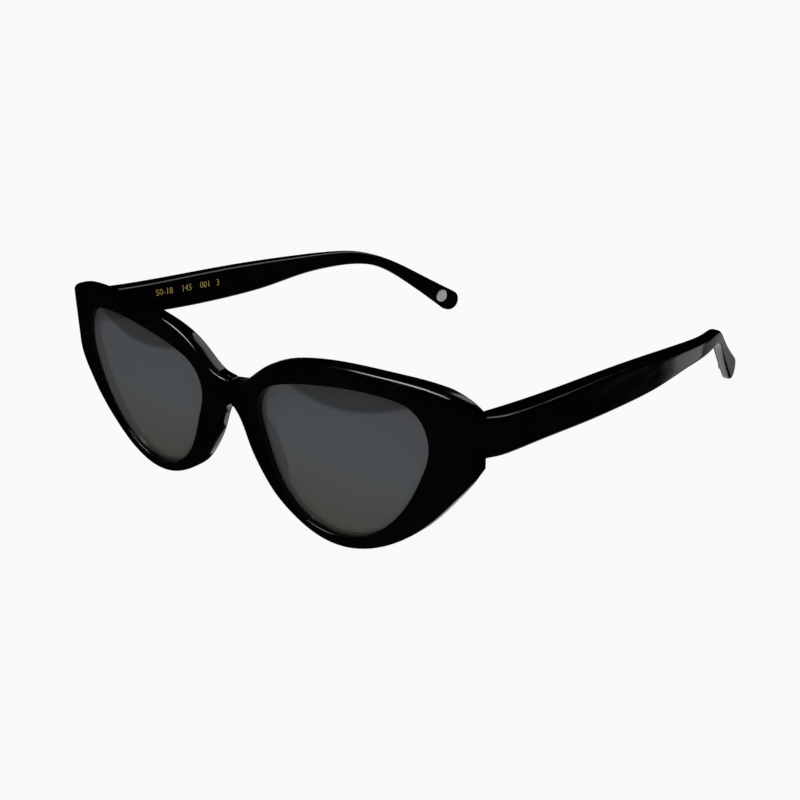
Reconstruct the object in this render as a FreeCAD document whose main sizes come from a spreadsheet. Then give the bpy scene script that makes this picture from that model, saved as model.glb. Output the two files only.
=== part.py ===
import FreeCAD, Part
import os
from FreeCAD import Placement, Rotation, Vector

# Cat eye sunglasses, open, standing on the rims and the temple tips.
# Every shape is drawn from a datum at the middle of the bridge, on the front face:
# X across the face, Y back towards the ears, Z up. The datum placement then puts the
# middle of the whole object over the origin and its lowest points on Z = 0.
# The pieces of the +X side are the wearer's left; those of the right are their mirrors.

DIMENSIONS = [
    # alias, value, what it is
    ("half_depth", 77.25, "datum to the middle of the overall depth"),
    ("datum_height", 22.96, "datum above the surface that the frame stands on"),
    ("face_radius", 500.0, "radius of the front face, seen from above"),
    ("plate_thickness", 4.4, "acetate plate of the front"),
    ("joint_plane", 8.0, "back of the end pieces, where the temples butt"),
    ("front_round", 1.6, "round of the outer front edge"),
    ("back_round", 0.5, "round of the outer back edge"),
    ("groove_depth", 0.6, "lens edge inside the rim"),
    ("lens_radius", 200.0, "front surface of the lens"),
    ("lens_thickness", 1.8, "thickness of the lens"),
    ("lens_centre_x", 24.0, "centre of the lens sphere from the middle"),
    ("lens_centre_y", 201.4, "centre of the lens sphere behind the face datum"),
    ("lens_centre_z", -1.0, "centre of the lens sphere above the datum"),
    ("pad_radius", 17.0, "round of the nose pads"),
    ("pad_x", 10.6, "middle of a nose pad from the middle"),
    ("pad_z", -5.5, "middle of a nose pad above the datum"),
    ("pad_reach", 6.9, "rearmost point of the nose pads"),
    ("temple_reach", 72.0, "stock that a temple is cut from"),
    ("temple_round", 0.9, "round of the temple's long edges"),
    ("axis_x", 62.3, "hinge axis from the middle"),
    ("axis_y", 9.9, "hinge axis behind the face datum"),
    ("hinge_middle", 10.6, "middle of the hinges above the datum"),
    ("knuckle_radius", 1.6, "outer radius of a hinge knuckle"),
    ("knuckle_height", 1.2, "height of a hinge knuckle"),
    ("knuckle_gap", 0.05, "air between two knuckles"),
    ("neck_half_width", 1.3, "half of the neck from a leaf to its knuckle"),
    ("screw_radius", 0.7, "hinge screw"),
    ("bore_radius", 0.74, "bore of the knuckles"),
    ("screw_head_radius", 1.25, "head of the hinge screw"),
    ("screw_head_height", 0.6, "head of the hinge screw"),
    ("leaf_thickness", 1.1, "plate of a hinge leaf"),
    ("leaf_height", 5.6, "plate of a hinge leaf"),
    ("front_leaf_x", 59.6, "inner edge of the plate in the end piece"),
    ("front_leaf_width", 5.4, "plate let into the end piece"),
    ("temple_leaf_x", 64.1, "inner face of the plate in the temple"),
    ("temple_leaf_y", 8.6, "front edge of the plate in the temple"),
    ("temple_leaf_length", 11.0, "plate let into the temple"),
    ("inlay_radius", 2.15, "plain metal disc in the temple tip"),
    ("inlay_thickness", 0.9, "plain metal disc in the temple tip"),
]

# Front view, right half of the drawing: the top edge from the bridge to the end piece.
BROW = [(0, 9.5), (4.5, 10.4), (9, 13.4), (13.3, 16.3), (18, 18.2), (24, 19.6), (33, 20.7),
        (46, 21.1), (57, 20.9), (63, 19.9), (66.5, 18.5), (70.5, 15.4)]
# The same half: the lower edge from the bridge, round the nose, to the end piece.
JAW = [(0, 3.8), (1.9, 2.6), (3.7, 0), (5.8, -4.8), (9.5, -11), (13.8, -15.9), (19.1, -19.5),
       (26, -22.3), (33, -22.9), (40.9, -21), (49.8, -15.9), (56.2, -10.3), (61.8, -3.8),
       (66.4, 2.3), (70.5, 9.9)]
# Front edge of one lens aperture.
APERTURE = [(9.5, 5), (11.2, -2), (15, -11), (21, -17.2), (30, -19.8), (39, -18),
            (49.5, -9.5), (55.3, 1), (57, 8.5), (54, 14.6), (46, 16.6), (31, 15.6),
            (18, 13), (11.5, 9.6)]
# One nose pad seen from behind, from its top down the nose side and back up.
PAD = [(6.3, 1.2), (7.6, -3.2), (10.6, -8.9), (13.9, -13), (15.6, -12.6), (14, -8.9),
       (11.3, -3.3), (9.2, 1), (7.6, 2.4)]
PAD_START = 4

# Plan of the front: the face turns back round the end piece from this point on.
FACE_END = 57
FACE_CORNER = [(61, 3.95), (64.5, 4.95), (67, 6.5), (68.3, 8.2), (69, 10)]

# Side view of a temple: the upper edge, the tip and the lower edge.
TEMPLE_TOP = [(8.08, 16.2), (25, 14.1), (45, 12.4), (65, 10.7), (85, 8.5), (105, 6.2),
              (115.5, 4.4), (126.1, 0), (138.7, -7.7), (152.8, -16.4)]
TEMPLE_TIP = (154.0, -21.2)
TEMPLE_BOTTOM = [(8.08, 7.2), (25, 5.6), (45, 3.3), (60, 2.1), (75, 1.6), (90, 2), (103, 1.5),
                 (111.3, 0.9), (119.8, -0.9), (132.4, -8.7), (148.6, -22)]
# Plan of a temple: its outer and inner faces bend inwards behind the ear.
TEMPLE_OUTER = [(68.2, 8), (69.3, 11), (69.9, 16), (70, 24), (70, 58), (70, 92), (69, 103),
                (66.3, 114.5), (60.6, 132), (54.6, 156)]
TEMPLE_INNER = [(64.2, 8), (64.5, 24), (65.3, 50), (65.9, 92), (65.6, 102), (63.4, 113.5),
                (57.8, 131), (51.8, 155)]

# The wire core, in the same two views, as the line through its middle.
CORE_SIDE = [(20.5, 10.3), (45, 7.9), (70, 6.1), (100, 4.1), (113, 2.7), (125, -1.9),
             (140, -11.8)]
CORE_PLAN = [(67, 20), (67.6, 50), (68, 92), (67.3, 102.5), (64.7, 114), (59.2, 131.5),
             (55.8, 145)]
CORE_HEIGHT = 2.2
CORE_THICKNESS = 1.2

# The disc in the inner face of the tip: where it sits, and which way it faces.
INLAY_POINT = (53.26, 146.3, -16.6)
INLAY_FACING = (-0.975, -0.223, 0)

THROUGH = 200
# Waste cut away round a piece: how far it reaches beside, in front of and behind the pieces.
WASTE_BESIDE = 80
WASTE_IN_FRONT = -5
WASTE_BEHIND = 175
TOUCHING = 0.05
KNUCKLES = 5
FRONT_KNUCKLES = (0, 2, 4)
TEMPLE_KNUCKLES = (1, 3)


def make_sheet(doc):
    """Put the driving dimensions in a spreadsheet, one aliased cell each."""
    sheet = doc.addObject("Spreadsheet::Sheet", "dims")
    for row, (alias, value, note) in enumerate(DIMENSIONS, start=1):
        sheet.set(f"A{row}", alias)
        sheet.set(f"B{row}", str(value))
        sheet.set(f"C{row}", note)
        sheet.setAlias(f"B{row}", alias)
    doc.recompute()
    return sheet


def curve(points):
    """A smooth open curve through plane points, in a sketch's own axes."""
    spline = Part.BSplineCurve()
    spline.interpolate([Vector(u, v, 0) for u, v in points])
    return spline


def loop(points):
    """A smooth closed curve through plane points."""
    spline = Part.BSplineCurve()
    spline.interpolate([Vector(u, v, 0) for u, v in points], PeriodicFlag=True)
    return spline


def line(start, end):
    """A straight edge between two plane points."""
    return Part.LineSegment(Vector(*start, 0), Vector(*end, 0))


def path(points):
    """Straight edges from point to point."""
    return [line(a, b) for a, b in zip(points, points[1:])]


def arc(start, middle, end):
    """An arc through three plane points."""
    return Part.Arc(Vector(*start, 0), Vector(*middle, 0), Vector(*end, 0))


def whole(half):
    """A half outline that starts on the middle line, mirrored to run from -X to +X."""
    return [(-x, z) for x, z in reversed(half[1:])] + half


def flipped(points):
    """The same plane points on the other side of the middle line."""
    return [(-x, z) for x, z in points]


def offset(points, distance, closed):
    """Plane points moved to the left of their direction of travel."""
    moved = []
    last = len(points) - 1
    for i, (u, v) in enumerate(points):
        before = points[i - 1] if closed else points[max(i - 1, 0)]
        after = points[(i + 1) % len(points)] if closed else points[min(i + 1, last)]
        along = Vector(after[0] - before[0], after[1] - before[1], 0).normalize()
        moved.append((u - along.y * distance, v + along.x * distance))
    return moved


def strip(middle, width):
    """The closed outline of a band of even width along a line."""
    left = offset(middle, width / 2, False)
    right = offset(middle, -width / 2, False)
    return [curve(left), curve(right), line(left[0], right[0]), line(left[-1], right[-1])]


def new_body(doc, name):
    """An empty body, at the datum."""
    body = doc.addObject("PartDesign::Body", name)
    body.Label = name
    return body


def sketch_on(body, role, name, edges):
    """A sketch on one of the body's own origin planes."""
    plane = next(f for f in body.Origin.OriginFeatures if f.Role == role)
    sketch = body.newObject("Sketcher::SketchObject", name)
    sketch.AttachmentSupport = [(plane, "")]
    sketch.MapMode = "FlatFace"
    for edge in edges:
        sketch.addGeometry(edge, False)
    return sketch


def pad(body, sketch, length, reverse):
    """A pad as long as a cell of the sheet says."""
    feature = body.newObject("PartDesign::Pad", sketch.Name + "_pad")
    feature.Profile = sketch
    feature.setExpression("Length", length)
    feature.Reversed = reverse
    body.Document.recompute()
    return feature


def pocket_through(body, sketch):
    """A pocket right through the body, both ways from its sketch. It must cut something."""
    before = body.Shape.Volume
    feature = body.newObject("PartDesign::Pocket", sketch.Name + "_pocket")
    feature.Profile = sketch
    feature.SideType = "Symmetric"
    feature.Length = THROUGH
    body.Document.recompute()
    if body.Shape.Volume > before - 1:
        raise RuntimeError(f"{feature.Name} removes nothing")
    return feature


def round_edges(body, radius, chosen):
    """Round those edges of the body that the test picks out."""
    tip = body.Tip
    names = [f"Edge{i}" for i, edge in enumerate(tip.Shape.Edges, start=1) if chosen(edge)]
    feature = body.newObject("PartDesign::Fillet", f"{body.Name}_{radius}")
    feature.Base = (tip, names)
    feature.setExpression("Radius", f"dims.{radius}")
    body.Document.recompute()
    return feature


def edge_points(edge):
    """Points along an edge, ends left out."""
    first, last = edge.ParameterRange
    return [edge.valueAt(first + (last - first) * part) for part in (0.2, 0.5, 0.8)]


def face_depth(sheet, x):
    """How far the front face lies behind the datum at a distance from the middle."""
    return x * x / (2 * sheet.get("face_radius"))


def make_front(doc, sheet):
    """The front as cut from its plate, before the lenses and hinges are let in."""
    body = new_body(doc, "front_blank")
    joint_plane = sheet.get("joint_plane")
    brow = whole(BROW)
    jaw = whole(JAW)
    ends = [line(brow[0], jaw[0]), line(brow[-1], jaw[-1])]
    outline = sketch_on(body, "XZ_Plane", "front_outline", [curve(brow), curve(jaw)] + ends)
    pad(body, outline, "dims.joint_plane", True)

    depth = face_depth(sheet, FACE_END)
    corner = [(FACE_END, depth)] + FACE_CORNER
    far_x, far_y = corner[-1]
    before_face = path([(far_x, far_y), (WASTE_BESIDE, far_y), (WASTE_BESIDE, WASTE_IN_FRONT),
                        (-WASTE_BESIDE, WASTE_IN_FRONT), (-WASTE_BESIDE, far_y),
                        (-far_x, far_y)])
    face = [arc((-FACE_END, depth), (0, 0), (FACE_END, depth)), curve(corner),
            curve(flipped(corner))]
    pocket_through(body, sketch_on(body, "XY_Plane", "face_plan", face + before_face))

    thickness = sheet.get("plate_thickness")
    half_back = (2 * sheet.get("face_radius") * (joint_plane - thickness)) ** 0.5
    back = [arc((-half_back, joint_plane), (0, thickness), (half_back, joint_plane))]
    behind = path([(half_back, joint_plane), (half_back, WASTE_BEHIND),
                   (-half_back, WASTE_BEHIND), (-half_back, joint_plane)])
    pocket_through(body, sketch_on(body, "XY_Plane", "back_plan", back + behind))

    outline_shape = outline.Shape
    corner_x, corner_depth = zip(*corner)

    def on_outline(point):
        foot = Part.Vertex(Vector(point.x, 0, point.z))
        return outline_shape.distToShape(foot)[0] < TOUCHING

    def behind_face(point):
        """Depth of a point behind the front face, straight lines standing in for its corner."""
        x = abs(point.x)
        if x < FACE_END:
            return point.y - face_depth(sheet, x)
        i = min(sum(x > at for at in corner_x[1:]), len(corner) - 2)
        share = (x - corner_x[i]) / (corner_x[i + 1] - corner_x[i])
        return point.y - corner_depth[i] - share * (corner_depth[i + 1] - corner_depth[i])

    def outer_front(edge):
        return all(on_outline(p) and behind_face(p) < thickness / 4 for p in edge_points(edge))

    def outer_back(edge):
        return all(on_outline(p) and p.y > thickness - TOUCHING for p in edge_points(edge))

    round_edges(body, "front_round", outer_front)
    round_edges(body, "back_round", outer_back)
    holes = sketch_on(body, "XZ_Plane", "apertures", [loop(APERTURE), loop(flipped(APERTURE))])
    pocket_through(body, holes)
    return body


def extrusion(doc, name, edges, plane, start, length):
    """A prism: a closed outline in the XZ or XY plane, pushed along the plane's normal."""
    sketch = doc.addObject("Sketcher::SketchObject", name + "_outline")
    for edge in edges:
        sketch.addGeometry(edge, False)
    if plane == "XZ":
        sketch.Placement = Placement(Vector(0, start, 0), Rotation(Vector(1, 0, 0), 90))
        direction = Vector(0, 1, 0)
    else:
        sketch.Placement = Placement(Vector(0, 0, start), Rotation())
        direction = Vector(0, 0, 1)
    prism = doc.addObject("Part::Extrusion", name + "_prism")
    prism.Base = sketch
    prism.DirMode = "Custom"
    prism.Dir = direction
    prism.LengthFwd = length
    prism.Solid = True
    return prism


def sphere(doc, name, radius, centre):
    """A ball; its radius and the three parts of its centre are expressions."""
    ball = doc.addObject("Part::Sphere", name)
    ball.setExpression("Radius", radius)
    for axis, expression in zip("xyz", centre):
        ball.setExpression(f".Placement.Base.{axis}", expression)
    return ball


def box(doc, name, corner, size):
    """A block; its corner and its three sizes are expressions."""
    block = doc.addObject("Part::Box", name)
    for axis, expression in zip("xyz", corner):
        block.setExpression(f".Placement.Base.{axis}", expression)
    for side, expression in zip(("Length", "Width", "Height"), size):
        block.setExpression(side, expression)
    return block


def cylinder(doc, name, radius, base, height):
    """An upright cylinder on the hinge axis; every size is an expression."""
    post = doc.addObject("Part::Cylinder", name)
    post.setExpression("Radius", radius)
    post.setExpression("Height", height)
    post.setExpression(".Placement.Base.x", "dims.axis_x")
    post.setExpression(".Placement.Base.y", "dims.axis_y")
    post.setExpression(".Placement.Base.z", base)
    return post


def combine(doc, kind, name, shapes):
    """Part::MultiFuse or Part::MultiCommon of several shapes."""
    result = doc.addObject(kind, name)
    result.Shapes = shapes
    return result


def cut(doc, name, base, tool):
    """Base with the tool's shape removed."""
    result = doc.addObject("Part::Cut", name)
    result.Base = base
    result.Tool = tool
    return result


def make_lens(doc, sheet):
    """One lens: a slice of a hollow sphere in the outline of the aperture and its groove."""
    outline = offset(APERTURE, -sheet.get("groove_depth"), True)
    prism = extrusion(doc, "lens", [loop(outline)], "XZ", -2, 14)
    centre = ("dims.lens_centre_x", "dims.lens_centre_y", "dims.lens_centre_z")
    front = sphere(doc, "lens_front_ball", "dims.lens_radius", centre)
    back = sphere(doc, "lens_back_ball", "dims.lens_radius - dims.lens_thickness", centre)
    disc = combine(doc, "Part::MultiCommon", "lens_disc", [prism, front])
    return cut(doc, "lens_shape", disc, back)


def make_nose_pad(doc, front):
    """One nose pad: a domed pad, shaped to the back of the rim that it is bonded to."""
    prism = extrusion(doc, "nose_pad", [loop(PAD)], "XZ", PAD_START, 8)
    centre = ("dims.pad_x", "dims.pad_reach - dims.pad_radius", "dims.pad_z")
    ball = sphere(doc, "nose_pad_ball", "dims.pad_radius", centre)
    dome = combine(doc, "Part::MultiCommon", "nose_pad_dome", [prism, ball])
    return cut(doc, "nose_pad_shape", dome, front)


def knuckle_base(index):
    """Height of a knuckle's foot above the datum, as an expression."""
    pitch = "(dims.knuckle_height + dims.knuckle_gap)"
    return f"dims.hinge_middle - {KNUCKLES} * {pitch} / 2 + {index} * {pitch}"


def make_leaf(doc, name, plate, neck_corner, neck_size, places):
    """One hinge leaf: a plate, and a neck and a bored knuckle at each of its places."""
    pieces = [plate]
    for place in places:
        base = knuckle_base(place)
        neck = box(doc, f"{name}_neck_{place}", neck_corner + (base,),
                   neck_size + ("dims.knuckle_height",))
        pieces.append(neck)
        pieces.append(cylinder(doc, f"{name}_knuckle_{place}", "dims.knuckle_radius", base,
                               "dims.knuckle_height"))
    blank = combine(doc, "Part::MultiFuse", f"{name}_blank", pieces)
    bore = cylinder(doc, f"{name}_bore", "dims.bore_radius", "dims.hinge_middle - 10", "20")
    return cut(doc, name, blank, bore)


def make_front_leaf(doc):
    """The hinge leaf in the end piece, with three knuckles."""
    leaf_foot = "dims.hinge_middle - dims.leaf_height / 2"
    plate = box(doc, "front_plate",
                ("dims.front_leaf_x", "dims.joint_plane - dims.leaf_thickness", leaf_foot),
                ("dims.front_leaf_width", "dims.leaf_thickness", "dims.leaf_height"))
    corner = ("dims.axis_x - dims.neck_half_width", "dims.joint_plane - 0.2")
    size = ("2 * dims.neck_half_width", "dims.axis_y - dims.joint_plane + 0.2")
    return make_leaf(doc, "hinge_front_leaf_shape", plate, corner, size, FRONT_KNUCKLES)


def make_temple_leaf(doc):
    """The hinge leaf in the temple, with two knuckles."""
    leaf_foot = "dims.hinge_middle - dims.leaf_height / 2"
    plate = box(doc, "temple_plate", ("dims.temple_leaf_x", "dims.temple_leaf_y", leaf_foot),
                ("dims.leaf_thickness", "dims.temple_leaf_length", "dims.leaf_height"))
    corner = ("dims.axis_x", "dims.axis_y - dims.neck_half_width")
    size = ("dims.temple_leaf_x - dims.axis_x + 0.2", "2 * dims.neck_half_width")
    return make_leaf(doc, "hinge_temple_leaf_shape", plate, corner, size, TEMPLE_KNUCKLES)


def make_screw(doc):
    """The hinge screw, put in from above."""
    top = knuckle_base(KNUCKLES) + " - dims.knuckle_gap"
    foot = knuckle_base(0)
    shank = cylinder(doc, "screw_shank", "dims.screw_radius", foot, f"({top}) - ({foot})")
    head = cylinder(doc, "screw_head", "dims.screw_head_radius", top, "dims.screw_head_height")
    return combine(doc, "Part::MultiFuse", "hinge_screw_shape", [shank, head])


def make_bar(doc, name, side_view, outside, inside):
    """A long bar: a side view padded sideways, then cut to its two faces in plan."""
    body = new_body(doc, name)
    pad(body, sketch_on(body, "YZ_Plane", name + "_side", side_view), "dims.temple_reach", False)
    outer_end = outside[-1]
    outer = path([outer_end, (WASTE_BESIDE, outer_end[1]), (WASTE_BESIDE, WASTE_IN_FRONT),
                  (outside[0][0], WASTE_IN_FRONT), outside[0]])
    pocket_through(body, sketch_on(body, "XY_Plane", name + "_out", [curve(outside)] + outer))
    inner_end = inside[-1]
    inner = path([inner_end, (inner_end[0], WASTE_BEHIND), (0, WASTE_BEHIND),
                  (0, WASTE_IN_FRONT), (inside[0][0], WASTE_IN_FRONT), inside[0]])
    pocket_through(body, sketch_on(body, "XY_Plane", name + "_in", [curve(inside)] + inner))
    return body


def make_temple(doc):
    """One temple as cut and bent from acetate, before the metal is let in."""
    side_view = [curve(TEMPLE_TOP), curve(TEMPLE_BOTTOM), line(TEMPLE_TOP[0], TEMPLE_BOTTOM[0]),
                 arc(TEMPLE_TOP[-1], TEMPLE_TIP, TEMPLE_BOTTOM[-1])]
    body = make_bar(doc, "temple_blank", side_view, TEMPLE_OUTER, TEMPLE_INNER)
    joint = TEMPLE_TOP[0][0]
    end_plan = TEMPLE_OUTER[-1][1]

    def long_edge(edge):
        points = edge_points(edge)
        across = abs(points[0].y - points[-1].y) < 0.3
        return not across and all(joint + 0.1 < p.y < end_plan for p in points)

    round_edges(body, "temple_round", long_edge)
    return body


def make_core(doc):
    """The flat wire inside a temple, which keeps its bend."""
    outside = offset(CORE_PLAN, -CORE_THICKNESS / 2, False)
    inside = offset(CORE_PLAN, CORE_THICKNESS / 2, False)
    body = make_bar(doc, "temple_core_shape", strip(CORE_SIDE, CORE_HEIGHT), outside, inside)
    return body


def make_inlay(doc):
    """The plain metal disc in the inner face of a temple tip."""
    disc = doc.addObject("Part::Cylinder", "tip_inlay_shape")
    disc.setExpression("Radius", "dims.inlay_radius")
    disc.setExpression("Height", "dims.inlay_thickness")
    facing = Vector(*INLAY_FACING)
    disc.Placement = Placement(Vector(*INLAY_POINT), Rotation(Vector(0, 0, 1), facing * -1))
    return disc


def place(piece, name):
    """Name a piece, and move it from the datum to its place over the origin."""
    piece.Label = name
    piece.setExpression(".Placement.Base.y", "-dims.half_depth")
    piece.setExpression(".Placement.Base.z", "dims.datum_height")
    return piece


def finish(doc, name, source):
    """A piece in its place, clean of split faces."""
    piece = doc.addObject("Part::Refine", name)
    piece.Source = source
    return place(piece, name)


def mirror(doc, source, name):
    """A shape's twin across the middle."""
    twin = doc.addObject("Part::Mirroring", name)
    twin.Source = source
    twin.Normal = Vector(1, 0, 0)
    return twin


def check(doc):
    """Stop if any object failed to compute."""
    for item in doc.Objects:
        if "Invalid" in item.State or "Error" in item.State:
            raise RuntimeError(f"{item.Name} is {item.State}")


def export(piece):
    """Write one piece, once it is sure to be sound."""
    shape = piece.Shape
    if shape.isNull() or not shape.isValid() or not shape.Solids:
        raise RuntimeError(f"{piece.Label} is not a valid solid")
    shape.exportStep(f"parts/{piece.Label}.step")
    size = shape.BoundBox
    print(f"{piece.Label}: {len(shape.Solids)} solid, {shape.Volume:.1f} mm3, "
          f"x {size.XMin:.2f}..{size.XMax:.2f} y {size.YMin:.2f}..{size.YMax:.2f} "
          f"z {size.ZMin:.2f}..{size.ZMax:.2f}")


def main():
    os.makedirs("parts", exist_ok=True)
    doc = FreeCAD.newDocument("cat_eye_sunglasses")
    sheet = make_sheet(doc)

    front_blank = make_front(doc, sheet)
    temple_blank = make_temple(doc)
    shapes = {
        "lens": make_lens(doc, sheet),
        "nose_pad": make_nose_pad(doc, front_blank),
        "hinge_front_leaf": make_front_leaf(doc),
        "hinge_temple_leaf": make_temple_leaf(doc),
        "hinge_screw": make_screw(doc),
        "temple_core": make_core(doc),
        "tip_inlay": make_inlay(doc),
    }
    metal = [shapes[name] for name in ("hinge_temple_leaf", "temple_core", "tip_inlay")]
    let_in_temple = combine(doc, "Part::MultiFuse", "let_in_temple", metal)
    shapes["temple"] = cut(doc, "temple_shape", temple_blank, let_in_temple)

    one_side = combine(doc, "Part::MultiFuse", "let_in_left",
                       [shapes["lens"], shapes["hinge_front_leaf"]])
    other_side = mirror(doc, one_side, "let_in_right")
    let_in_front = combine(doc, "Part::MultiFuse", "let_in_front", [one_side, other_side])
    front = cut(doc, "front_shape", front_blank, let_in_front)

    pieces = [finish(doc, "front_frame", front)]
    for name, shape in shapes.items():
        pieces.append(finish(doc, name + "_left", shape))
        pieces.append(place(mirror(doc, shape, name + "_right"), name + "_right"))
    doc.recompute()
    check(doc)
    for piece in pieces:
        export(piece)


main()
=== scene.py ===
import math
import bmesh
import bpy
import numpy as np
from mathutils import Matrix, Vector


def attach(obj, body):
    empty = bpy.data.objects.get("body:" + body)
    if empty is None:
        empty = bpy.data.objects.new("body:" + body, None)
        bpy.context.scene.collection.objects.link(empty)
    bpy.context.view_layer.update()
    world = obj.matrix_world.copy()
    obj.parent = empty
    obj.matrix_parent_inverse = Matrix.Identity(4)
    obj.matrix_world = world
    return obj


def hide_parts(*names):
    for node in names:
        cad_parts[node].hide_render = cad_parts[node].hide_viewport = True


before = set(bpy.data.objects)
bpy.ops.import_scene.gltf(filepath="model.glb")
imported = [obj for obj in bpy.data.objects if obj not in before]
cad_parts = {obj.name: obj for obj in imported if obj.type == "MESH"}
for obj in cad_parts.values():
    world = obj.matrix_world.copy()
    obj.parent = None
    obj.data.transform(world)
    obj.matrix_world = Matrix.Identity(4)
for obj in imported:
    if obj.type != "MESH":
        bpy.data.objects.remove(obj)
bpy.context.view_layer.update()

MM = 0.001

# Outlines in millimetres from the datum: the middle of the bridge, on the front face.
# X runs across the face, Y back towards the ears, Z up.
BROW = [(0, 9.5), (4.5, 10.4), (9, 13.4), (13.3, 16.3), (18, 18.2), (24, 19.6), (33, 20.7),
        (46, 21.1), (57, 20.9), (63, 19.9), (66.5, 18.5), (70.5, 15.4)]
JAW = [(0, 3.8), (1.9, 2.6), (3.7, 0), (5.8, -4.8), (9.5, -11), (13.8, -15.9), (19.1, -19.5),
       (26, -22.3), (33, -22.9), (40.9, -21), (49.8, -15.9), (56.2, -10.3), (61.8, -3.8),
       (66.4, 2.3), (70.5, 9.9)]
APERTURE = [(9.5, 5), (11.2, -2), (15, -11), (21, -17.2), (30, -19.8), (39, -18),
            (49.5, -9.5), (55.3, 1), (57, 8.5), (54, 14.6), (46, 16.6), (31, 15.6),
            (18, 13), (11.5, 9.6)]
PAD = [(6.3, 1.2), (7.6, -3.2), (10.6, -8.9), (13.9, -13), (15.6, -12.6), (14, -8.9),
       (11.3, -3.3), (9.2, 1), (7.6, 2.4)]
PAD_MIDDLE = (10.6, -5.5)
PAD_RADIUS = 17
PAD_REACH = 6.9
PAD_BOND = 0.3
PAD_ROUND = 1.1

FACE_RADIUS = 500
FACE_END = 57
FACE_CORNER = [(61, 3.95), (64.5, 4.95), (67, 6.5), (68.3, 8.2), (69, 10)]
PLATE_THICKNESS = 4.4
JOINT_PLANE = 8
END_X = 68.15

# Edge rounds of the front: (distance from the middle, radius) on its face, then plain radii.
BROW_ROUND = [(0, 1.5), (8, 1.6), (18, 2.1), (35, 2.5), (55, 2.5), (64, 1.7), (68, 1)]
JAW_ROUND = [(0, 1.3), (6, 1.4), (15, 1.8), (33, 2), (50, 2.3), (60, 1.9), (68, 1)]
BACK_ROUND = 0.6
APERTURE_FRONT_ROUND = 0.45
APERTURE_BACK_ROUND = 0.35

TEMPLE_TOP = [(8.08, 16.2), (25, 14.1), (45, 12.4), (65, 10.7), (85, 8.5), (105, 6.2),
              (115.5, 4.4), (126.1, 0), (138.7, -7.7), (152.8, -16.4)]
TEMPLE_TIP = (154.0, -21.2)
TEMPLE_BOTTOM = [(8.08, 7.2), (25, 5.6), (45, 3.3), (60, 2.1), (75, 1.6), (90, 2), (103, 1.5),
                 (111.3, 0.9), (119.8, -0.9), (132.4, -8.7), (148.6, -22)]
TEMPLE_OUTER = [(68.2, 8), (69.3, 11), (69.9, 16), (70, 24), (70, 58), (70, 92), (69, 103),
                (66.3, 114.5), (60.6, 132), (54.6, 156)]
TEMPLE_INNER = [(64.2, 8), (64.5, 24), (65.3, 50), (65.9, 92), (65.6, 102), (63.4, 113.5),
                (57.8, 131), (51.8, 155)]
TEMPLE_INNER_ROUND = 0.9
TEMPLE_OUTER_ROUND = 1.05

LENS_CENTRE = (24, 201.4, -1)
LENS_RADIUS = 200
LENS_THICKNESS = 1.8
GROOVE_DEPTH = 0.6
HIDDEN_ROUND = 0.1

# The printed size: figure height, where it starts (back, up), its lean in degrees, how thick
# it is, how far it stands off the temple, and a figure's height in this font as a share of size.
MARK_TEXT = "50-18    145    001   3"
MARK_HEIGHT = 1.9
MARK_START = (30.8, 9.7)
MARK_LEAN = 6.2
MARK_RELIEF = 0.01
MARK_LIFT = 0.03
FIGURE_SHARE = 0.7

# Tint of the lens from foot to brow, and the heights in metres it runs between. Then painted
# shade:
# a darker bow under the brow for the brow's shade on the lens: its middle (across, up), how much
# it bends up per metre, how far its edge fades below and above that line, in metres, and its
# shade colour.
LENS_FOOT = (0.135, 0.13, 0.112)
LENS_MIDDLE = (0.148, 0.158, 0.167)
LENS_BROW = (0.138, 0.146, 0.156)
TINT_HEIGHTS = (0.003, 0.04)
LENS_CLEAR_SHARE = 0.4
BOW_MIDDLE = (32, 33.6)
BOW_BEND = 12.0
BOW_FADE = (0.0004, 0.0006)
BROW_SHADE_COLOUR = (0.5, 0.51, 0.51, 1)

# The datum in the row frame: the object's box is centred on X and Y and stands on Z = 0.
DATUM = Vector((0, -77.25, 22.96)) * MM

# How finely the curves and edges are cut.
STEPS_PER_KNOT = 40
KNOTS_ROUND_AGAIN = 4
OUTLINE_STEPS = 600
EDGE_STEPS = 1200
END_STEPS = 60
MIDDLE_STEPS = 40
CORNER_STEPS = 200
SIDE_STEPS = 260
TIP_STEPS = 60
PLAN_STEPS = 400
LENS_STEPS = 240
PAD_STEPS = 160
OUTER_TURNS = 10
INNER_TURNS = 7
ROUND_SHARE = 0.9
CENTRE_SPREAD = 0.05
FAR = 1e9
WELD_DISTANCE = 2e-6
SHORTEST_EDGE = 1e-7

# Camera: where it stands in metres, how it is turned (yaw, pitch, roll) in degrees, and its
# focal length as a share of the sensor's width.
CAMERA_PLACE = (0.18756, -0.23304, 0.12800)
CAMERA_TURN = (40.875, 22.739, -0.830)
FOCAL_SHARE = 1128 / 800
SENSOR_WIDTH = 36
NEAR_CLIP = 0.01

# Soft lights: name, place, what it faces, size, power. Distances in metres, power in watts.
MIDDLE = (0, -0.02, 0.02)
LIGHTS = [("key", (-0.32, -0.42, 0.85), MIDDLE, (0.75, 0.14), 2.6),
          ("back_top", (0.02, 0.85, 0.9), MIDDLE, (0.9, 0.6), 2),
          ("back_low", (0.0, 1.1, -0.45), MIDDLE, (0.6, 0.45), 0.12),
          ("left_low", (-0.95, 0.65, -0.45), MIDDLE, (0.9, 0.6), 0.4),
          ("right_low", (0.46, 1.1, -0.34), (0.068, 0.04, 0.03), (0.25, 0.4), 0.16),
          ("under", (-0.15, 0.6, -0.6), MIDDLE, (0.5, 0.4), 0.35)]
FLOOR_REACH = 30
PALE = 0.94


# ---------------------------------------------------------------- curves

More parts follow.
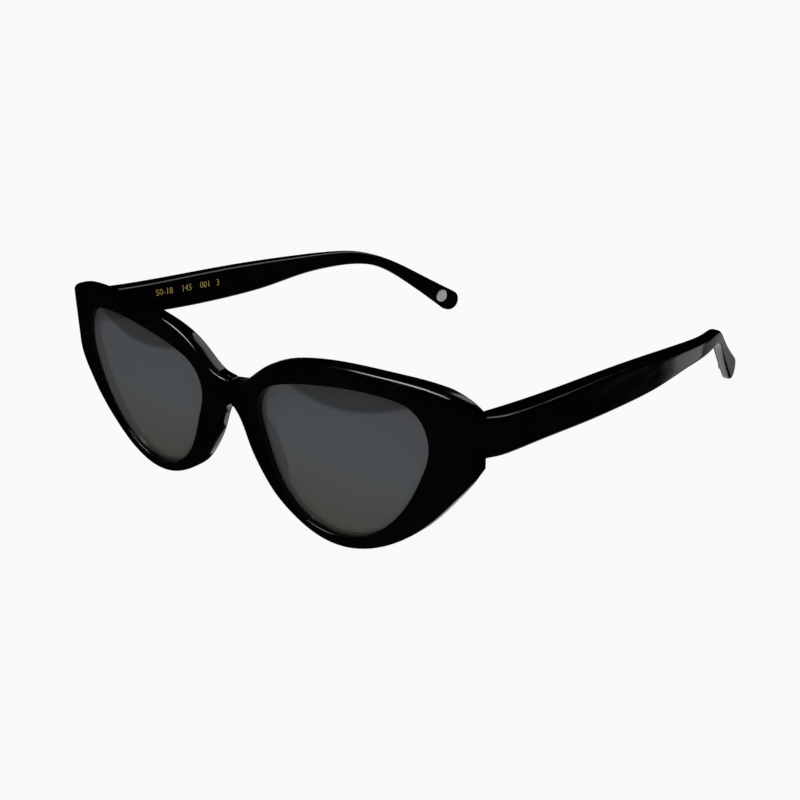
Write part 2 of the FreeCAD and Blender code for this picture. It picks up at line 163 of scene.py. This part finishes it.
def spline(points, count, closed=False):
    """Evenly spaced points on a smooth curve through the given ones."""
    knots = np.array(points, float)
    wrap = KNOTS_ROUND_AGAIN if closed else 0
    if closed:
        knots = np.vstack([knots[-wrap:], knots, knots[:wrap + 1]])
    length = np.r_[0, np.cumsum(np.hypot(*np.diff(knots, axis=0).T))]
    step = np.diff(length)
    slope = np.diff(knots, axis=0) / step[:, None]
    size = len(knots)
    system = np.eye(size)
    right = np.zeros((size, 2))
    for i in range(1, size - 1):
        system[i, i - 1:i + 2] = step[i - 1], 2 * (step[i - 1] + step[i]), step[i]
        right[i] = 6 * (slope[i] - slope[i - 1])
    second = np.linalg.solve(system, right)
    first = length[wrap]
    last = length[-wrap - 1]
    at = np.linspace(first, last, STEPS_PER_KNOT * len(points))
    seg = np.clip(np.searchsorted(length, at, side="right") - 1, 0, size - 2)
    low = (at - length[seg])[:, None]
    high = (length[seg + 1] - at)[:, None]
    wide = step[seg][:, None]
    curve = ((second[seg] * high ** 3 + second[seg + 1] * low ** 3) / (6 * wide)
             + (knots[seg] / wide - second[seg] * wide / 6) * high
             + (knots[seg + 1] / wide - second[seg + 1] * wide / 6) * low)
    return resample(curve, count, closed)


def resample(line, count, closed=False):
    """A polyline at evenly spaced points. A closed one leaves out its last point."""
    length = np.r_[0, np.cumsum(np.hypot(*np.diff(line, axis=0).T))]
    at = np.linspace(0, length[-1], count, endpoint=not closed)
    return np.stack([np.interp(at, length, line[:, k]) for k in (0, 1)], 1)


def until(line, x):
    """A polyline cut off where it first reaches x."""
    past = int(np.argmax(line[:, 0] > x))
    share = (x - line[past - 1, 0]) / (line[past, 0] - line[past - 1, 0])
    return np.vstack([line[:past], line[past - 1] + share * (line[past] - line[past - 1])])


def nearest(points, line):
    """Distance from each point to a polyline, and how far along it that is, from 0 to 1."""
    start, end = line[:-1], line[1:]
    along = end - start
    size = (along ** 2).sum(1)
    best = np.full(len(points), FAR)
    where = np.zeros(len(points))
    for i, (a, d, s) in enumerate(zip(start, along, size)):
        share = np.clip(((points - a) @ d) / s, 0, 1)
        gap = np.hypot(*(points - a - share[:, None] * d).T)
        closer = gap < best
        best[closer] = gap[closer]
        where[closer] = (i + share[closer]) / len(start)
    return best, where


def between(line, start, end, count):
    """Evenly spaced points on a closed polyline from one place on to another, end left out."""
    _, at = nearest(np.array([start, end], float), line)
    if at[1] < at[0] + 1e-9:
        at[1] += 1
    ring = np.vstack([line, line[1:]])
    index = np.arange(len(ring)) / (len(line) - 1)
    inside = (index > at[0]) & (index < at[1])
    ends = [[np.interp(t, index, ring[:, k]) for k in (0, 1)] for t in at]
    piece = np.vstack([ends[:1], ring[inside], ends[1:]])
    return resample(piece, count + 1)[:-1]


def rounding(distance, radius):
    """How far a rounded edge falls away at a distance inside it."""
    inside = np.clip(1 - distance / radius, 0, 1)
    return radius * (1 - np.sqrt(np.clip(1 - inside ** 2, 0, 1)))


# ---------------------------------------------------------------- meshes

def new_object(name, vertices, faces):
    """A smooth-shaded mesh object, its vertices in metres."""
    mesh = bpy.data.meshes.new(name)
    mesh.from_pydata([tuple(v) for v in vertices], [], faces)
    mesh.update()
    mesh.polygons.foreach_set("use_smooth", [True] * len(mesh.polygons))
    piece = bpy.data.objects.new(name, mesh)
    bpy.context.scene.collection.objects.link(piece)
    return piece


def weld(piece):
    """Join the points that lie on each other, and make every face look outwards."""
    work = bmesh.new()
    work.from_mesh(piece.data)
    bmesh.ops.remove_doubles(work, verts=work.verts, dist=WELD_DISTANCE)
    bmesh.ops.dissolve_degenerate(work, edges=work.edges, dist=SHORTEST_EDGE)
    bmesh.ops.recalc_face_normals(work, faces=work.faces)
    work.to_mesh(piece.data)
    work.free()
    piece.data.polygons.foreach_set("use_smooth", [True] * len(piece.data.polygons))


def steps_across(length, outer_round, inner_round, middle):
    """Distances from the outer edge to the inner one, close together over both rounds."""
    turns = np.linspace(0, math.pi / 2, OUTER_TURNS)
    outer = outer_round * (1 - np.cos(turns))
    few = turns[:INNER_TURNS]
    inner = inner_round * (1 - np.cos(few / few[-1] * math.pi / 2))
    scale = min(1, length / (outer_round + inner_round) * ROUND_SHARE)
    outer, inner = outer * scale, inner * scale
    flat = np.linspace(outer[-1], length - inner[-1], middle + 1)[1:-1]
    return np.r_[outer, flat, length - inner[::-1]]


def plate(outer, inner, low, high, edges, hole=None, closed=True, middle=6, open_wall=None):
    """Points (u, v, w) and faces of a plate between two matched rings of (u, v) points.

    low and high give w on the two broad faces. edges is a list of (line, radius on the low
    face, radius on the high face), where a radius is a function of u. hole is one such entry
    for the inner ring; without it the plate is solid to its middle. middle is the number of
    steps between the rounds. open_wall says which outer points have no wall behind them.
    """
    count = len(outer)
    inner_spread = APERTURE_FRONT_ROUND if hole else CENTRE_SPREAD
    _, outer_round, _ = edge_rounds(outer, edges)
    rows = []
    for b, a, radius in zip(outer, inner, outer_round):
        length = math.dist(a, b)
        across = steps_across(length, radius, inner_spread, middle)
        rows.append(b + (a - b) * (across / length)[:, None])
    grid = np.array(rows)
    width = grid.shape[1]
    flat = grid.reshape(-1, 2)
    gap, low_round, high_round = edge_rounds(flat, edges)
    low_w = low(flat) + rounding(gap, low_round)
    high_w = high(flat) - rounding(gap, high_round)
    if hole:
        gap, low_round, high_round = edge_rounds(flat, [hole])
        low_w += rounding(gap, low_round)
        high_w -= rounding(gap, high_round)
    centre = (low(flat) + high(flat)) / 2
    low_w = np.minimum(low_w, centre)
    high_w = np.maximum(high_w, centre)
    points = np.vstack([np.c_[flat, low_w], np.c_[flat, high_w]])
    side = count * width
    faces = []
    for t in range(count if closed else count - 1):
        after = (t + 1) % count
        for k in range(width - 1):
            a, b = t * width + k, after * width + k
            faces.append((a, b, b + 1, a + 1))
            faces.append((side + a, side + a + 1, side + b + 1, side + b))
        a, b = t * width, after * width
        if open_wall is None or not (open_wall(outer[t]) and open_wall(outer[after])):
            faces.append((a, side + a, side + b, b))
        if hole:
            a, b = a + width - 1, b + width - 1
            faces.append((a, b, side + b, side + a))
    if not closed:
        for first in (0, (count - 1) * width):
            for k in range(first, first + width - 1):
                faces.append((k, k + 1, side + k + 1, side + k))
    return points, faces


def edge_rounds(points, edges):
    """For each point: the distance to the nearest edge line, and that edge's two radii."""
    gap = np.full(len(points), FAR)
    low_round = np.ones(len(points))
    high_round = np.ones(len(points))
    for line, low_radius, high_radius in edges:
        distance, where = nearest(points, line)
        u = np.interp(where * (len(line) - 1), np.arange(len(line)), line[:, 0])
        closer = distance < gap
        gap[closer] = distance[closer]
        low_round[closer] = low_radius(u[closer])
        high_round[closer] = high_radius(u[closer])
    return gap, low_round, high_round


def even(radius):
    """The same radius everywhere."""
    return lambda u: np.full(len(u), radius)


def graded(pairs):
    """A radius that changes with the distance from the middle."""
    at, size = np.array(pairs, float).T
    return lambda u: np.interp(np.abs(u), at, size)


def front_space(points):
    """From (across, up, depth) in millimetres to the row frame."""
    return points[:, [0, 2, 1]] * MM + np.array(DATUM)


def side_space(points):
    """From (back, up, across) in millimetres to the row frame."""
    return points[:, [2, 0, 1]] * MM + np.array(DATUM)


def mirror_piece(piece, name):
    """The other side's twin of a piece."""
    mesh = piece.data.copy()
    mesh.name = name
    mesh.transform(Matrix.Scale(-1, 4, (1, 0, 0)))
    mesh.flip_normals()
    twin = bpy.data.objects.new(name, mesh)
    bpy.context.scene.collection.objects.link(twin)
    return twin


# ---------------------------------------------------------------- the pieces

def whole(half):
    """A half outline that starts on the middle line, mirrored to run from -X to +X."""
    return [(-x, z) for x, z in reversed(half[1:])] + half


def face_depth(points):
    """Depth of the front face behind the datum: an arc that turns back at the end pieces."""
    x = np.abs(points[:, 0])
    start = (FACE_END, FACE_END ** 2 / (2 * FACE_RADIUS))
    corner = spline([start] + FACE_CORNER, CORNER_STEPS)
    return np.where(x < FACE_END, x * x / (2 * FACE_RADIUS), np.interp(x, *corner.T))


def back_depth(points):
    """Depth of the back of the front: it runs out flat at the joint plane."""
    return np.minimum(PLATE_THICKNESS + points[:, 0] ** 2 / (2 * FACE_RADIUS), JOINT_PLANE)


def make_front():
    """The acetate front, with a soft round that narrows from the brow to the end pieces."""
    brow = spline(BROW, OUTLINE_STEPS)
    jaw = spline(JAW, OUTLINE_STEPS)
    hole = spline(APERTURE, OUTLINE_STEPS, closed=True)
    hole = np.vstack([hole, hole[:1]])
    top, bottom = until(brow, END_X), until(jaw, END_X)
    middle_line = np.array([jaw[0], brow[0]])
    end_line = np.array([top[-1], bottom[-1]])
    outline = np.vstack([top, resample(end_line, END_STEPS)[1:], bottom[::-1][1:],
                         resample(middle_line, MIDDLE_STEPS)[1:]])
    # Which place on the outline faces which place on the aperture, and the steps to the next.
    pairs = [((0, 9.3), (11, 9.1), 50), ((13.3, 16.2), (15, 11.9), 50),
             ((24, 20.3), (22, 14.2), 70), ((46, 21.3), (46, 16.6), 70),
             (tuple(top[-1]), (55.8, 12), 40), (tuple(bottom[-1]), (57, 8), 70),
             ((56, -10.1), (50.5, -8), 80), ((41, -21.3), (39, -18), 80),
             ((26, -22.4), (26, -19.5), 70), ((14, -15.7), (17, -13.8), 60),
             ((6.4, -4.5), (11.8, -4), 50), ((4.4, 0.4), (10.2, 1), 30),
             ((0, 4.5), (9.5, 5), 30)]
    outer, inner = [], []
    for (b0, a0, count), (b1, a1, _) in zip(pairs, pairs[1:] + pairs[:1]):
        outer.append(between(outline, b0, b1, count))
        inner.append(between(hole[::-1], a0, a1, count))
    outer, inner = np.vstack(outer), np.vstack(inner)
    edges = [(spline(whole(BROW), EDGE_STEPS), graded(BROW_ROUND), even(BACK_ROUND)),
             (spline(whole(JAW), EDGE_STEPS), graded(JAW_ROUND), even(BACK_ROUND))]
    rim = (hole, even(APERTURE_FRONT_ROUND), even(APERTURE_BACK_ROUND))
    points, faces = plate(outer, inner, face_depth, back_depth, edges, hole=rim, middle=8,
                          open_wall=lambda p: abs(p[0]) < 1e-6)
    mirrored = points * (-1, 1, 1)
    joined = [tuple(reversed([i + len(points) for i in face])) for face in faces]
    piece = new_object("front_acetate", front_space(np.vstack([points, mirrored])),
                       faces + joined)
    weld(piece)
    return piece


def arc_through(start, middle, end, count):
    """Points on the circle through three points, from the first to the last."""
    a, b, c = (complex(*p) for p in (start, middle, end))
    w = (c - a) / (b - a)
    centre = (b - a) * (w - abs(w) ** 2) / (2j * w.imag) + a
    radius = abs(a - centre)
    first, via, last = (np.angle(p - centre) for p in (a, b, c))
    if not (min(first, last) < via < max(first, last)):
        last += 2 * math.pi * (1 if last < first else -1)
    turn = np.linspace(first, last, count)
    return np.stack([centre.real + radius * np.cos(turn),
                     centre.imag + radius * np.sin(turn)], 1)


def make_temple():
    """One acetate temple: deep at the joint, slim over the ear, with a rounded paddle tip."""
    top = spline(TEMPLE_TOP, SIDE_STEPS)
    bottom = spline(TEMPLE_BOTTOM, SIDE_STEPS)
    tip = arc_through(TEMPLE_TOP[-1], TEMPLE_TIP, TEMPLE_BOTTOM[-1], TIP_STEPS)
    middle = (top + bottom) / 2
    outer = np.vstack([top, tip[1:-1], bottom[::-1]])
    inner = np.vstack([middle, np.repeat(middle[-1:], len(tip) - 2, 0), middle[::-1]])
    outside = spline(TEMPLE_OUTER, PLAN_STEPS)
    inside = spline(TEMPLE_INNER, PLAN_STEPS)
    points, faces = plate(
        outer, inner,
        lambda p: np.interp(p[:, 0], inside[:, 1], inside[:, 0]),
        lambda p: np.interp(p[:, 0], outside[:, 1], outside[:, 0]),
        [(outer, even(TEMPLE_INNER_ROUND), even(TEMPLE_OUTER_ROUND))], closed=False, middle=5)
    piece = new_object("temple_acetate_left", side_space(points), faces)
    weld(piece)
    return piece


def make_lens():
    """One sun lens, a slice of a hollow sphere, its edge hidden in the rim's groove."""
    ring = spline(APERTURE, LENS_STEPS, closed=True)
    along = np.roll(ring, -1, 0) - np.roll(ring, 1, 0)
    normal = np.stack([-along[:, 1], along[:, 0]], 1)
    normal /= np.hypot(*normal.T)[:, None]
    outer = ring - normal * GROOVE_DEPTH
    inner = np.repeat(outer.mean(0)[None], len(outer), 0)

    def ball(radius):
        cx, cy, cz = LENS_CENTRE
        return lambda p: cy - np.sqrt(radius ** 2 - (p[:, 0] - cx) ** 2 - (p[:, 1] - cz) ** 2)

    edge = np.vstack([outer, outer[:1]])
    points, faces = plate(outer, inner, ball(LENS_RADIUS), ball(LENS_RADIUS - LENS_THICKNESS),
                          [(edge, even(HIDDEN_ROUND), even(HIDDEN_ROUND))], middle=24)
    piece = new_object("sun_lens_left", front_space(points), faces)
    weld(piece)
    return piece


def make_pad():
    """One nose pad, bonded to the back of the rim and polished with it."""
    outer = spline(PAD, PAD_STEPS, closed=True)
    inner = np.repeat(outer.mean(0)[None], len(outer), 0)

    def dome(p):
        away = (p[:, 0] - PAD_MIDDLE[0]) ** 2 + (p[:, 1] - PAD_MIDDLE[1]) ** 2
        return PAD_REACH - PAD_RADIUS + np.sqrt(PAD_RADIUS ** 2 - away)

    edge = np.vstack([outer, outer[:1]])
    points, faces = plate(outer, inner, lambda p: back_depth(p) - PAD_BOND, dome,
                          [(edge, even(HIDDEN_ROUND), even(PAD_ROUND))], middle=8)
    piece = new_object("nose_pad_bonded_left", front_space(points), faces)
    weld(piece)
    return piece


def make_size_mark():
    """The size printed inside the right temple: lens width, bridge width, temple length."""
    curve = bpy.data.curves.new("size_mark", "FONT")
    curve.body = MARK_TEXT
    curve.size = MARK_HEIGHT * MM / FIGURE_SHARE
    curve.extrude = MARK_RELIEF * MM
    curve.resolution_u = 3
    holder = bpy.data.objects.new("size_mark", curve)
    bpy.context.scene.collection.objects.link(holder)
    bpy.context.view_layer.update()
    mesh = bpy.data.meshes.new_from_object(
        holder.evaluated_get(bpy.context.evaluated_depsgraph_get()))
    bpy.data.objects.remove(holder)
    inside = spline(TEMPLE_INNER, PLAN_STEPS)
    back, up = MARK_START
    lean = math.tan(math.radians(MARK_LEAN))
    for point in mesh.vertices:
        along, rise, lift = point.co / MM
        y = back + along
        x = -np.interp(y, inside[:, 1], inside[:, 0]) + MARK_LIFT + lift
        point.co = (Vector((x, y, up + rise - along * lean)) * MM) + DATUM
    piece = bpy.data.objects.new("size_mark", mesh)
    mesh.name = "size_mark"
    bpy.context.scene.collection.objects.link(piece)
    return piece


# ---------------------------------------------------------------- materials

def new_material(name, **inputs):
    """A Principled material with some of its sockets set."""
    material = bpy.data.materials.new(name)
    material.use_nodes = True
    shader = material.node_tree.nodes["Principled BSDF"]
    for label, value in inputs.items():
        shader.inputs[label.replace("_", " ")].default_value = value
    return material, material.node_tree, shader


def add_noise(tree, scale, detail, stretch=(1, 1, 1)):
    """A noise texture in object coordinates, which are in metres."""
    where = tree.nodes.new("ShaderNodeTexCoord")
    mapping = tree.nodes.new("ShaderNodeMapping")
    mapping.inputs["Scale"].default_value = stretch
    noise = tree.nodes.new("ShaderNodeTexNoise")
    noise.inputs["Scale"].default_value = scale
    noise.inputs["Detail"].default_value = detail
    tree.links.new(where.outputs["Object"], mapping.inputs["Vector"])
    tree.links.new(mapping.outputs["Vector"], noise.inputs["Vector"])
    return noise.outputs["Fac"]


def add_range(tree, value, low, high, start=0.35, end=0.65):
    """A value stretched from start..end to low..high."""
    spread = tree.nodes.new("ShaderNodeMapRange")
    spread.inputs["From Min"].default_value = start
    spread.inputs["From Max"].default_value = end
    spread.inputs["To Min"].default_value = low
    spread.inputs["To Max"].default_value = high
    tree.links.new(value, spread.inputs["Value"])
    return spread.outputs["Result"]


def add_math(tree, operation, first, second=0.0):
    """One arithmetic node on a value."""
    node = tree.nodes.new("ShaderNodeMath")
    node.operation = operation
    tree.links.new(first, node.inputs[0])
    if isinstance(second, float):
        node.inputs[1].default_value = second
    else:
        tree.links.new(second, node.inputs[1])
    return node.outputs["Value"]


def add_ramp(tree, value, *stops):
    """A colour ramp through (place, colour) stops."""
    ramp = tree.nodes.new("ShaderNodeValToRGB")
    for i, (place, colour) in enumerate(stops):
        stop = ramp.color_ramp.elements[i] if i < 2 else ramp.color_ramp.elements.new(place)
        stop.position = place
        stop.color = (*colour, 1)
    tree.links.new(value, ramp.inputs["Fac"])
    return ramp.outputs["Color"]


def add_bump(tree, shader, height, strength, distance):
    """A bump on the shader from a height."""
    bump = tree.nodes.new("ShaderNodeBump")
    bump.inputs["Strength"].default_value = strength
    bump.inputs["Distance"].default_value = distance
    tree.links.new(height, bump.inputs["Height"])
    tree.links.new(bump.outputs["Normal"], shader.inputs["Normal"])


def acetate():
    """Polished black acetate: a trace of waviness and faint smears in the polish."""
    material, tree, shader = new_material("black_acetate", IOR=1.49)
    cloud = add_noise(tree, 90, 3)
    colour = add_ramp(tree, cloud, (0.3, (0.0012, 0.0012, 0.0013)),
                      (0.7, (0.003, 0.0029, 0.003)))
    tree.links.new(colour, shader.inputs["Base Color"])
    smear = add_noise(tree, 260, 5, (1, 0.35, 1))
    tree.links.new(add_range(tree, smear, 0.07, 0.15), shader.inputs["Roughness"])
    add_bump(tree, shader, add_noise(tree, 140, 2), 0.05, 0.0003)
    return material


def lens_tint_and_brow_shade():
    """Grey sun lens: partly see-through, with a warmer foot and a darker bow under the brow that
    is painted shade from the brow.
    """
    material, tree, shader = new_material("tinted_lens", IOR=1.5)
    shader.inputs["Transmission Weight"].default_value = LENS_CLEAR_SHARE
    where = tree.nodes.new("ShaderNodeTexCoord")
    split = tree.nodes.new("ShaderNodeSeparateXYZ")
    tree.links.new(where.outputs["Object"], split.inputs["Vector"])
    height = add_range(tree, split.outputs["Z"], 0, 1, *TINT_HEIGHTS)
    tint = add_ramp(tree, height, (0, LENS_FOOT), (0.5, LENS_MIDDLE), (1, LENS_BROW))
    # Painted shade: above a line that bends up under the brow, the lens colour is multiplied
    # darker, standing in for the brow's shade on the lens.
    across = add_math(tree, "ABSOLUTE", split.outputs["X"])
    across = add_math(tree, "SUBTRACT", across, BOW_MIDDLE[0] * MM)
    sag = add_math(tree, "MULTIPLY", add_math(tree, "MULTIPLY", across, across), BOW_BEND)
    above = add_math(tree, "SUBTRACT", split.outputs["Z"], sag)
    line = BOW_MIDDLE[1] * MM
    bow = add_range(tree, above, 0, 1, line - BOW_FADE[0], line + BOW_FADE[1])
    mix = tree.nodes.new("ShaderNodeMix")
    mix.data_type = "RGBA"
    mix.blend_type = "MULTIPLY"
    tree.links.new(bow, mix.inputs["Factor"])
    tree.links.new(tint, mix.inputs["A"])
    mix.inputs["B"].default_value = BROW_SHADE_COLOUR
    tree.links.new(mix.outputs["Result"], shader.inputs["Base Color"])
    tree.links.new(add_range(tree, add_noise(tree, 120, 4), 0.01, 0.04),
                   shader.inputs["Roughness"])
    return material


def metal(name, colour, rough, stretch, metallic=1.0):
    """Bright metal with drawn or brushed lines, its grain closer along the larger stretch."""
    material, tree, shader = new_material(name, Metallic=metallic)
    grain = add_noise(tree, 1500, 6, stretch)
    dark = tuple(0.8 * c for c in colour)
    tree.links.new(add_ramp(tree, grain, (0.35, dark), (0.65, colour)),
                   shader.inputs["Base Color"])
    tree.links.new(add_range(tree, grain, rough * 0.8, rough * 1.3), shader.inputs["Roughness"])
    add_bump(tree, shader, grain, 0.1, 0.00005)
    return material


def dress(piece, material):
    """Give a piece one material."""
    piece.data.materials.clear()
    piece.data.materials.append(material)


# ---------------------------------------------------------------- the stage

def camera():
    """The camera, in front of the wearer's left side and a little above."""
    yaw, pitch, roll = (math.radians(a) for a in CAMERA_TURN)
    back = Vector((math.sin(yaw) * math.cos(pitch), -math.cos(yaw) * math.cos(pitch),
                   math.sin(pitch)))
    right = Vector((math.cos(yaw), math.sin(yaw), 0))
    up = back.cross(right)
    level = right * math.cos(roll) + up * math.sin(roll)
    upright = up * math.cos(roll) - right * math.sin(roll)
    lens = bpy.data.cameras.new("camera")
    lens.lens = FOCAL_SHARE * SENSOR_WIDTH
    lens.clip_start = NEAR_CLIP
    holder = bpy.data.objects.new("camera", lens)
    bpy.context.scene.collection.objects.link(holder)
    turn = Matrix((level, upright, back)).transposed().to_4x4()
    holder.matrix_world = Matrix.Translation(CAMERA_PLACE) @ turn
    bpy.context.scene.camera = holder


def soft_box(name, place, target, size, power):
    """An elliptical soft light that faces a point."""
    light = bpy.data.lights.new(name, "AREA")
    light.shape = "ELLIPSE"
    light.size, light.size_y = size
    light.energy = power
    holder = bpy.data.objects.new(name, light)
    bpy.context.scene.collection.objects.link(holder)
    turn = (Vector(place) - Vector(target)).to_track_quat("Z", "Y").to_matrix().to_4x4()
    holder.matrix_world = Matrix.Translation(place) @ turn


def stage():
    """A pale floor and surroundings, and soft light from above and around.

    Polished faces don't mirror the floor or the surroundings, only the lights.
    """
    material, _, shader = new_material("pale_floor", Roughness=1.0)
    shader.inputs["Base Color"].default_value = (0.02, 0.02, 0.02, 1)
    shader.inputs["Emission Color"].default_value = (1, 1, 1, 1)
    shader.inputs["Emission Strength"].default_value = PALE
    mesh = bpy.data.meshes.new("floor")
    corners = [(x * FLOOR_REACH, y * FLOOR_REACH, 0)
               for x, y in ((-1, -1), (1, -1), (1, 1), (-1, 1))]
    mesh.from_pydata(corners, [], [(0, 1, 2, 3)])
    piece = bpy.data.objects.new("floor", mesh)
    bpy.context.scene.collection.objects.link(piece)
    dress(piece, material)
    piece.visible_glossy = False
    piece.visible_shadow = False
    world = bpy.data.worlds.new("studio")
    world.use_nodes = True
    world.node_tree.nodes["Background"].inputs["Color"].default_value = (PALE, PALE, PALE, 1)
    world.cycles_visibility.diffuse = False
    world.cycles_visibility.glossy = False
    bpy.context.scene.world = world
    for light in LIGHTS:
        soft_box(*light)
    bpy.context.scene.view_settings.view_transform = "Standard"


# ---------------------------------------------------------------- build

def build():
    black, tint = acetate(), lens_tint_and_brow_shade()
    front = make_front()
    dress(front, black)
    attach(front, "front")
    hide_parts("front_frame")
    makers = [(make_lens, "lens", tint, "tinted_lens", "front"),
              (make_pad, "nose_pad", black, "black_acetate", "front"),
              (make_temple, "temple", black, "black_acetate", None)]
    for make, node, material, slot, body in makers:
        left = make()
        dress(left, material)
        right = mirror_piece(left, left.name.replace("_left", "_right"))
        for piece, side in ((left, "left"), (right, "right")):
            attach(piece, body or f"{side}_temple")
            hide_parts(f"{node}_{side}")
    mark = make_size_mark()
    dress(mark, metal("gold_print", (0.75, 0.56, 0.2), 0.35, (1, 1, 1), 0.3))
    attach(mark, "right_temple")
    metals = {
        "hinge_front_leaf": metal("hinge_metal", (0.6, 0.58, 0.54), 0.28, (1, 1, 6)),
        "hinge_screw": metal("screw_steel", (0.66, 0.66, 0.66), 0.2, (1, 1, 1)),
        "temple_core": metal("core_wire", (0.6, 0.58, 0.55), 0.3, (6, 1, 6)),
        "tip_inlay": metal("inlay_metal", (0.95, 0.95, 0.96), 0.3, (1, 1, 5), 0.3),
    }
    metals["hinge_temple_leaf"] = metals["hinge_front_leaf"]
    for node, material in metals.items():
        for side in ("left", "right"):
            dress(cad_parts[f"{node}_{side}"], material)


build()
stage()
camera()
